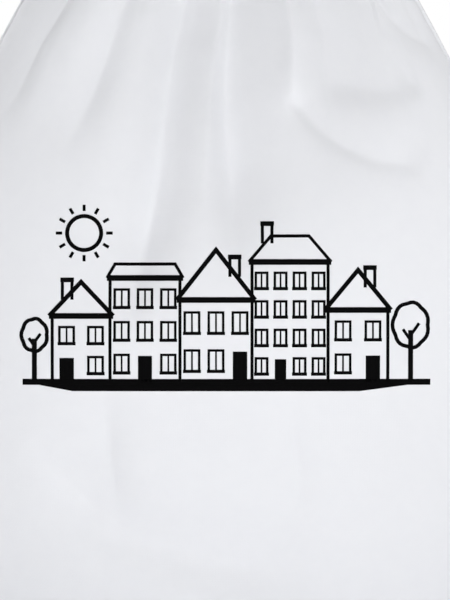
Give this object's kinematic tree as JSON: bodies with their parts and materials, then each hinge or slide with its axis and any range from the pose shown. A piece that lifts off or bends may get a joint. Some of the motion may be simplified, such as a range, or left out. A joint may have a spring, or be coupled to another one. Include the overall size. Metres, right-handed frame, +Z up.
{
  "type": "drawstring bag",
  "caption": "White cotton drawstring bag, softly filled and drawn closed, standing on its base, with pleated casing, square-knotted cord and metal corner eyelets.",
  "frame": {"origin": "middle of the base, on the surface that the bag stands on", "axes": "+Z up towards the gathered neck, +X to the bag's right as seen from the front, and the printed front faces -Y"},
  "size_m": [0.374, 0.1215, 0.421],
  "materials": {
    "cotton_cloth": "plain-woven bleached cotton, matt",
    "cotton_cord": "braided cotton cord, matt",
    "print_ink": "screen-printed black ink, matt",
    "eyelet_metal": "nickel-plated, satin"
  },
  "bodies": {
    "root": {"front_panel": "cotton_cloth", "back_panel": "cotton_cloth", "front_casing": "cotton_cloth", "back_casing": "cotton_cloth", "bottom_seam": "cotton_cloth", "side_seam_left": "cotton_cloth", "side_seam_right": "cotton_cloth", "corner_patch_left": "cotton_cloth", "corner_patch_right": "cotton_cloth", "drawstring": "cotton_cord", "drawstring_knot": "cotton_cord", "eyelet_left": "eyelet_metal", "eyelet_right": "eyelet_metal", "washer_left": "eyelet_metal", "washer_right": "eyelet_metal"}
  },
  "joints": []
}
